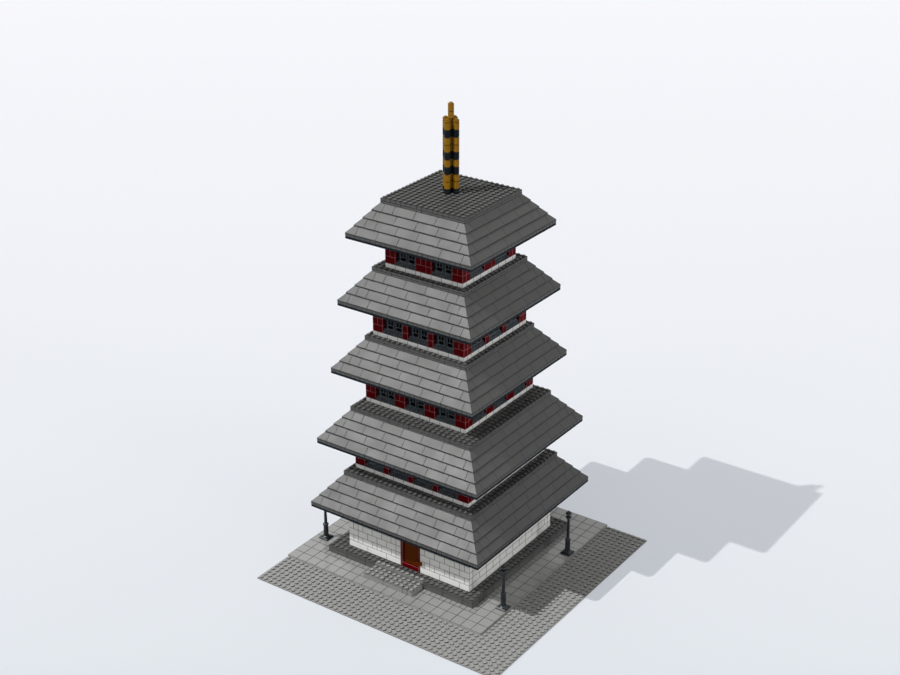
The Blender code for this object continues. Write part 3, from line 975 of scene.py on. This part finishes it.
# %% The white courses
WHITE_LENGTHS = {2: (2,), 3: (1, 2), 4: (1, 2), 5: (2, 2, 2, 1, 2, 2, 2, 1, 1)}
for storey in range(2, 6):
    rim = ring(*solid_spans(f"base_course_{storey}"), WHITE_LENGTHS[storey], 1)[:-1]
    fit(blocks(f"storey_{storey}_white_course", rim, WHITE), [f"base_course_{storey}"])

# %% [markdown]
# On the white course stand dark red posts with a black panel of two windows between each pair. The four
# walls of a storey are alike, so a wall is described once, along its own length and inwards from its face,
# and `along_wall` sets each box of it on one of the four sides.

# %% Places along a wall
POST_WIDTHS = {2: (2, 1, 1, 1, 2), 3: (2, 2, 2, 2), 4: (2, 1, 1, 2), 5: (2, 3, 2)}
PANEL = 4


def along_wall(side, x, y, along, depth, z):
    """A box given along a wall and inwards from its face; sides go round from the front to the right."""
    if side == 0:
        return ((x[0] + along[0], x[0] + along[1]), (y[0] + depth[0], y[0] + depth[1]), z)
    if side == 1:
        return ((x[1] - depth[1], x[1] - depth[0]), (y[0] + along[0], y[0] + along[1]), z)
    if side == 2:
        return ((x[1] - along[1], x[1] - along[0]), (y[1] - depth[1], y[1] - depth[0]), z)
    return ((x[0] + depth[0], x[0] + depth[1]), (y[1] - along[1], y[1] - along[0]), z)


def starts_along(widths):
    """Where the posts of a wall and the panels between them start."""
    posts, panels, at = [], [], 0
    for width in widths:
        posts.append(at)
        panels.append(at + width)
        at += width + PANEL
    return posts, panels[:-1]


print("a wall of storey 5: posts and panels start at", starts_along(POST_WIDTHS[5]))

# %% [markdown]
# The posts are bricks in bond: in one course as many as fit are two studs long, in the next all are single.
# At the corners of a storey the brick that reaches round belongs to the front and the back wall, so the
# side walls leave its place free. The bricks' edges are painted pale, a painted highlight, which draws the
# joints as light lines.

# %% The posts
POST_JOINT = 0.0001
# a wide rounding, which widens the painted highlight on the posts' edges
POST_ROUNDING = 0.0003


def post_bricks(width, course):
    """Spans of the bricks of a post in one course; courses of twos and of single bricks alternate."""
    if width == 1:
        return [(0, 1)]
    if width == 3:
        return [(0, 2), (2, 3)] if course % 2 == 0 else [(0, 1), (1, 2), (2, 3)]
    return [(0, 2)] if course % 2 == 0 else [(0, 1), (1, 2)]


def post_boxes(side, x, y, z, widths):
    """The bricks of one wall's posts."""
    length = sum(widths) + PANEL * (len(widths) - 1)
    low, high = (1, length - 1) if side % 2 else (0, length)
    boxes = []
    for at, width in zip(starts_along(widths)[0], widths):
        for course, layer in enumerate(courses(z)):
            for start, end in post_bricks(width, course):
                span = (max(at + start, low), min(at + end, high))
                if span[1] > span[0]:
                    boxes.append(along_wall(side, x, y, span, (0, 1), layer))
    return boxes


for storey in range(2, 6):
    x, y = solid_spans(f"base_course_{storey}")[:2]
    print(f"storey {storey}:", 4 * (len(POST_WIDTHS[storey]) - 1), "panels of two windows")

# %% [markdown]
# A window panel is set back from the posts. Its sill falls outwards in four steps, and on it stand two
# windows: each has a stile on either side, a rail above and below, two cross bars, and one upright bar
# between these. The slate frames are set into the face of a black panel, whose openings are real holes.
# Booleans could cut all this out of one slab, but they need a cutter for every pane, and they leave the
# bars without rounded edges. Laid as bars and boards, the panel is blocks like everything else.

# %% One window panel
PANEL_HEIGHT = 3 * BRICK
PANEL_SET_BACK = 0.6
SILL_OVERLAP = 0.1
FRAME_HALF_DEPTH = 0.15
WINDOWS = ((0.78, 1.78), (2.45, 3.45))
WINDOW_Z = (0.68, 3.3)
SILL_STEPS = 4
SILL_GROOVE = 0.03
STILE = 0.24
RAIL = 0.16
THIN_BAR = 0.12
CROSS_BARS = (1.47, 2.53)


def window_frames():
    """The sill and the frames of a panel: along the wall, inwards from its face, and up from its foot."""
    low, high = WINDOW_Z
    rise, run_in = low / SILL_STEPS, PANEL_SET_BACK / SILL_STEPS
    boxes = []
    for step in range(SILL_STEPS):
        depth = (step * run_in, PANEL_SET_BACK + SILL_OVERLAP)
        boxes.append(((0, PANEL), depth, (step * rise, (step + 1) * rise - SILL_GROOVE)))
    bars = (PANEL_SET_BACK - FRAME_HALF_DEPTH, PANEL_SET_BACK + FRAME_HALF_DEPTH)
    half = THIN_BAR / 2
    for left, right in WINDOWS:
        middle = (left + right) / 2
        boxes += [
            ((left - STILE, left), bars, (low, high)),
            ((right, right + STILE), bars, (low, high)),
            ((left, right), bars, (low, low + RAIL)),
            ((left, right), bars, (high - RAIL, high)),
            ((middle - half, middle + half), bars, (CROSS_BARS[0] + half, CROSS_BARS[1] - half)),
        ]
        boxes += [((left, right), bars, (bar - half, bar + half)) for bar in CROSS_BARS]
    return boxes


def window_back():
    """The dark panel behind the frames, in the same measures, and the course over it."""
    low, high = WINDOW_Z
    back = (PANEL_SET_BACK, 1)
    return [
        ((0, PANEL), back, (0, low)),
        ((0, PANEL), back, (high, PANEL_HEIGHT)),
        ((0, WINDOWS[0][0]), back, (low, high)),
        ((WINDOWS[0][1], WINDOWS[1][0]), back, (low, high)),
        ((WINDOWS[1][1], PANEL), back, (low, high)),
        ((0, PANEL), (0, 1), (PANEL_HEIGHT, PANEL_HEIGHT + BRICK)),
    ]


def panel_boxes(panel, side, x, y, foot, widths):
    """The boxes of a panel at each of its places in one wall."""
    boxes = []
    for at in starts_along(widths)[1]:
        for along, depth, up in panel:
            span = (at + along[0], at + along[1])
            boxes.append(along_wall(side, x, y, span, depth, (foot + up[0], foot + up[1])))
    return boxes


print("boxes in a panel:", len(window_frames()), "and", len(window_back()))

# %% [markdown]
# Light that falls in through one window would shine back from the white course inside and show as a pale
# patch in another. A thin black lining on the floor and round the foot of each room takes it up, so the
# panes stay dark. Now every storey is laid: the posts are one piece, the windows with the lining another.

# %% The upper storeys
LINING = 0.1
WINDOW_ROUNDING = 0.00016


def room_lining(x, y, z):
    """Thin boards round the foot of a room, inside a white course, and a sheet on its floor."""
    room_x, room_y = (x[0] + 1, x[1] - 1), (y[0] + 1, y[1] - 1)
    boards = ring(room_x, room_y, z, [room_x[1] - room_x[0]], LINING)[:-1]
    return [*boards, (room_x, room_y, (z[0], z[0] + LINING))]


for storey in range(2, 6):
    x, y, course_z = solid_spans(f"base_course_{storey}")
    z = solid_spans(f"storey_{storey}_front_wall")[2]
    posts, frames, backs = [], [], []
    for side in range(4):
        posts += post_boxes(side, x, y, z, POST_WIDTHS[storey])
        frames += panel_boxes(window_frames(), side, x, y, z[0], POST_WIDTHS[storey])
        backs += panel_boxes(window_back(), side, x, y, z[0], POST_WIDTHS[storey])
    walls = [f"storey_{storey}_{side}_wall" for side in ("front", "right", "back", "left")]
    post_edges = {"joint": POST_JOINT, "rounding": POST_ROUNDING}
    fit(blocks(f"storey_{storey}_posts", posts, DARK_RED, **post_edges), walls)
    fine_edges = {"joint": MOULDED_JOINT, "rounding": WINDOW_ROUNDING}
    parts = [
        blocks("window_frames", frames, SLATE, **fine_edges),
        blocks("window_backs", backs, BLACK, **fine_edges),
        blocks("room_lining", room_lining(x, y, course_z), BLACK, **fine_edges),
    ]
    fit(joined(f"storey_{storey}_windows", parts), walls)

# %% [markdown]
# The spire is five columns of round bricks, a core and four round it, banded gold and black. The foot of a
# round brick is turned down to a neck, which shows as a dark groove at every joint. The neck, its flare and
# the top bevel take the edge colour: darker on gold, a painted shade in the groove, and paler on black, a
# painted highlight. Each kind of brick is lathed once, and the tree lays it wherever a column has it.

# %% The round bricks
ROUND_SIDES = 20
ROUND_RADIUS = 0.48
ROUND_EDGE = 0.03
NECK = 0.39
NECK_FOOT = 0.01
NECK_HEIGHT = 0.12
NECK_FLARE = 0.02
# painted shade on gold, a painted highlight on black: neck, flare and top bevel take the edge colour
ROUND_SHADE_AND_HIGHLIGHT = {0: 1, 1: 1, 3: 1}


def round_brick(height):
    """A round brick of one stud, with its neck below and its stud on top."""
    profile = [
        (NECK, NECK_FOOT),
        (NECK, NECK_HEIGHT),
        (ROUND_RADIUS, NECK_HEIGHT + NECK_FLARE),
        (ROUND_RADIUS, height - ROUND_EDGE),
        (ROUND_RADIUS - ROUND_EDGE, height),
        (STUD_RADIUS, height),
        (STUD_RADIUS, height + STUD_HEIGHT - STUD_EDGE),
        (STUD_RADIUS - STUD_EDGE, height + STUD_HEIGHT),
    ]
    return lathed(f"round_{height}", profile, ROUND_SIDES, ROUND_SHADE_AND_HIGHLIGHT)


round_shapes = {PLATE: round_brick(PLATE), BRICK: round_brick(BRICK)}
print("faces of a round brick:", len(round_shapes[BRICK].data.polygons))

# %% [markdown]
# From its foot up, each column is two flat black rounds, nine tall ones and a flat gold one. The core goes
# on by two more tall ones.

# %% The spire
COLUMN_LAYERS = (
    ("black", PLATE), ("black", PLATE), ("gold", BRICK), ("gold", BRICK), ("black", BRICK), ("gold", BRICK),
    ("black", BRICK), ("gold", BRICK), ("gold", BRICK), ("black", BRICK), ("gold", BRICK), ("gold", PLATE),
)
CORE_LAYERS = COLUMN_LAYERS + (("gold", BRICK), ("gold", BRICK))

columns = [node for node in frame["nodes"] if node.startswith("spire")]
spire_places = {}
for node in columns:
    x, y, z = solid_spans(node)
    foot = z[0]
    for colour, height in CORE_LAYERS if node == "spire_core" else COLUMN_LAYERS:
        spire_places.setdefault((colour, height), []).append((sum(x) / 2, sum(y) / 2, foot))
        foot += height
for colour, plastic in ("gold", GOLD), ("black", BLACK):
    parts = [
        pieces("round_parts", round_shapes[height], places, plastic)
        for (key, height), places in spire_places.items() if key == colour
    ]
    fit(joined(f"spire_{colour}_bricks", parts), columns)

# %% [markdown]
# The lamp posts are one moulded piece each: a square foot, a plinth, a thin shaft and a lantern's rings.
# The square rings have as many points as the round ones, so one skin covers the whole post: a point of the
# circle is pushed out until it lies on the square's side. The bands named last are painted pale, a painted
# highlight: the top of the foot, both bevels of the plinth's cap, and the two lantern rings.

# %% The lamp posts
LAMP_SIDES = 24
LAMP_SQUARES = ((0, 0.9), (0.2, 0.9), (0.25, 0.86), (0.42, 0.5))
LAMP_ROUNDS = (
    (0.5, 0.45), (2.5, 0.42), (2.6, 0.5), (2.85, 0.5), (3.0, 0.28), (6.7, 0.22), (6.85, 0.3), (7.0, 0.3),
    (7.06, 0.5), (7.26, 0.5), (7.34, 0.2), (7.7, 0.2), (7.78, 0.5), (8.02, 0.5), (8.12, 0.28), (8.34, 0.2),
    (8.4, 0.1),
)
# painted highlight: these bands take half of the pale edge colour
LAMP_HIGHLIGHT_BANDS = (3, 5, 7, 12, 16)
LAMP_HIGHLIGHT = 0.5


def square(half, z, sides):
    """A ring of points on a square, at the angles of the points of a circle."""
    ring_points = circle(1, z, sides)
    reach = [half / max(abs(x), abs(y)) for x, y, z in ring_points]
    return [(r * x, r * y, z) for r, (x, y, z) in zip(reach, ring_points)]


for node in [node for node in frame["nodes"] if node.startswith("lamp_post")]:
    x, y, z = solid_spans(node)
    rings = [square(half, height, LAMP_SIDES) for height, half in LAMP_SQUARES]
    rings += [circle(radius, height, LAMP_SIDES) for height, radius in LAMP_ROUNDS]
    bm = bmesh.new()
    skinned(bm, rings, edge_lines_and_painted_light=dict.fromkeys(LAMP_HIGHLIGHT_BANDS, LAMP_HIGHLIGHT))
    bmesh.ops.translate(bm, verts=bm.verts, vec=metres(sum(x) / 2, sum(y) / 2, z[0]))
    lamp = linked(f"{node}_moulding", bm)
    lamp.data.materials.append(LAMP_BLACK)
    fit(lamp, [node])

# %% [markdown]
# The ready pieces were only patterns for the trees, and go now that everything is laid.

# %% Clear the patterns away
patterns = [stud, *slope_shapes.values(), *round_shapes.values()]
for pattern in patterns:
    bpy.data.objects.remove(pattern, do_unlink=True)
print("patterns removed:", len(patterns))

# %% [markdown]
# The camera stands to the right of the front, well above the spire, and looks down by 25 degrees. Its long
# lens keeps the upright edges nearly parallel. The plain view transform shows colours as they are mixed.

# %% The camera
AZIMUTH = math.radians(35.1525)
ELEVATION = math.radians(25.1981)
CAMERA_PLACE = (1.06995, -1.53323, 1.21615)
FOCAL_PIXELS = 1611.57
IMAGE_WIDTH = 900
SENSOR = 36

camera_data = bpy.data.cameras.new("portrait_camera")
camera_data.sensor_width = SENSOR
camera_data.lens = FOCAL_PIXELS * SENSOR / IMAGE_WIDTH
camera = bpy.data.objects.new("portrait_camera", camera_data)
camera.location = CAMERA_PLACE
camera.rotation_euler = (math.pi / 2 - ELEVATION, 0, AZIMUTH)
bpy.context.scene.collection.objects.link(camera)
bpy.context.scene.camera = camera
bpy.context.scene.view_settings.view_transform = "Standard"
print(f"lens: {camera_data.lens:.1f} mm")

# %% [markdown]
# One small, high light from the front left gives the crisp shadow on the floor. Two broad, low ones lift
# the upright faces, one the front and a stronger one the right side, where the first light never comes.
# Suns do for all three: at this size a far lamp's rays are nearly parallel, and a sun's angle alone says
# how soft its shadows are.

# %% The lights
KEY_TRAVEL = Vector((0.4183, 0.5217, -0.7435))
KEY_STRENGTH = 2.18
KEY_ANGLE = math.radians(0.5)
FRONT_TRAVEL = Vector((0.1, 1, 0))
FRONT_STRENGTH = 0.8
SIDE_TRAVEL = Vector((-1, 0.05, 0))
SIDE_STRENGTH = 1.8
SOFT_ANGLE = math.radians(20)


def sun(name, travel, strength, angle):
    """A sun whose light travels in a direction."""
    light = bpy.data.lights.new(name, "SUN")
    light.energy = strength
    light.angle = angle
    lamp = bpy.data.objects.new(name, light)
    lamp.rotation_euler = travel.to_track_quat("-Z", "Y").to_euler()
    bpy.context.scene.collection.objects.link(lamp)


sun("key_light", KEY_TRAVEL, KEY_STRENGTH, KEY_ANGLE)
sun("front_light", FRONT_TRAVEL, FRONT_STRENGTH, SOFT_ANGLE)
sun("side_light", SIDE_TRAVEL, SIDE_STRENGTH, SOFT_ANGLE)

# %% [markdown]
# The rest of the light comes from the sky. It is dark but for a ring between 20 and 50 degrees up, like a
# ring of soft boxes round the table, whose light the eaves keep off the walls below them. Its lower half
# stands for the light that the floor throws back. A ramp over the height of the view direction holds all
# of it; a half of the ramp is the horizon.

# %% The sky
SKY_LEVELS = ((0.5, 0.15), (0.55, 0.0), (0.66, 0.0), (0.68, 0.834), (0.88, 0.834), (0.9, 0.0))

world = bpy.data.worlds.new("studio")
bpy.context.scene.world = world
world.use_nodes = True
background = world.node_tree.nodes["Background"]
sky = Wire(world.node_tree)
direction = sky.make("ShaderNodeTexCoord", output="Generated")
height = sky.make("ShaderNodeSeparateXYZ", inputs={"Vector": direction}, output="Z")
level = sky.make("ShaderNodeValToRGB", {"stops": SKY_LEVELS}, {"Fac": height * 0.5 + 0.5})
level.feed(background.inputs["Color"])
print("brightest part of the sky:", max(level for position, level in SKY_LEVELS))

# %% [markdown]
# The floor is white paper that gives off some light itself, as a lit sweep does, and more of it further
# back. So the shadow stays pale and the ground fades to white. Diffuse rays pass through this floor: at its
# size its glow would brighten every underside, and the sky's lower half already stands for that.
#
# For low views a round wall of the same paper closes the scene behind the floor. Only the camera sees it,
# so it changes neither the light nor the reflections. It takes no light, so its glow is the floor's glow
# and the light that falls on the floor, added up.

# %% The paper
PAPER_START = -0.26
PAPER_END = 3.2
PAPER_ROUGHNESS = 0.9
GLOW_NEAR = (0.295, 0.332, 0.372)
GLOW_FAR = (0.463, 0.46, 0.496)


def glowing_paper(name, colour, near, far):
    """Paper that gives off some light of its own, paler away from the camera."""
    paper = bpy.data.materials.new(name)
    paper.use_nodes = True
    shader = paper.node_tree.nodes["Principled BSDF"]
    start = Wire(paper.node_tree)
    place = start.make("ShaderNodeTexCoord", output="Object")
    way = place.dot((-math.sin(AZIMUTH), math.cos(AZIMUTH), 0))
    way = way.make("ShaderNodeMapRange", inputs={0: way, 1: PAPER_START, 2: PAPER_END})
    mixed = {0: way.sums("POWER", way, 0.5), 6: (*near, 1), 7: (*far, 1)}
    glow = start.make("ShaderNodeMix", {"data_type": "RGBA"}, mixed, output=2)
    glow.feed(shader.inputs["Emission Color"])
    shader.inputs["Base Color"].default_value = (*colour, 1)
    shader.inputs["Roughness"].default_value = PAPER_ROUGHNESS
    shader.inputs["Specular IOR Level"].default_value = 0.0
    shader.inputs["Emission Strength"].default_value = 1.0
    return paper


print("the paper's glow, near and far:", GLOW_NEAR, GLOW_FAR)

# %% [markdown]
# The floor lies a fifth of a millimetre under the baseplate, so that no two faces lie in one plane.

# %% The floor and the wall
FLOOR_SIDE = 30
FLOOR_DROP = 0.0002
FLOOR_COLOUR = (0.49, 0.495, 0.50)
WALL_RADIUS = 14
WALL_HEIGHT = 12
WALL_SIDES = 96
LIGHT_ON_FLOOR = (0.459, 0.47, 0.469)

bm = bmesh.new()
bmesh.ops.create_grid(bm, x_segments=1, y_segments=1, size=FLOOR_SIDE / 2)
floor = linked("studio_floor", bm)
floor.location.z = -FLOOR_DROP
floor.data.materials.append(glowing_paper("floor_paper", FLOOR_COLOUR, GLOW_NEAR, GLOW_FAR))
floor.visible_diffuse = False

bm = bmesh.new()
radii = {"radius1": WALL_RADIUS, "radius2": WALL_RADIUS}
bmesh.ops.create_cone(bm, cap_ends=False, segments=WALL_SIDES, depth=WALL_HEIGHT, **radii)
wall = linked("studio_wall", bm)
near, far = [
    [glow + light for glow, light in zip(colour, LIGHT_ON_FLOOR)] for colour in (GLOW_NEAR, GLOW_FAR)
]
wall.data.materials.append(glowing_paper("wall_paper", (0, 0, 0), near, far))
for way in ("diffuse", "glossy", "transmission", "shadow"):
    setattr(wall, f"visible_{way}", False)
print("the wall stands", WALL_RADIUS, "m away")
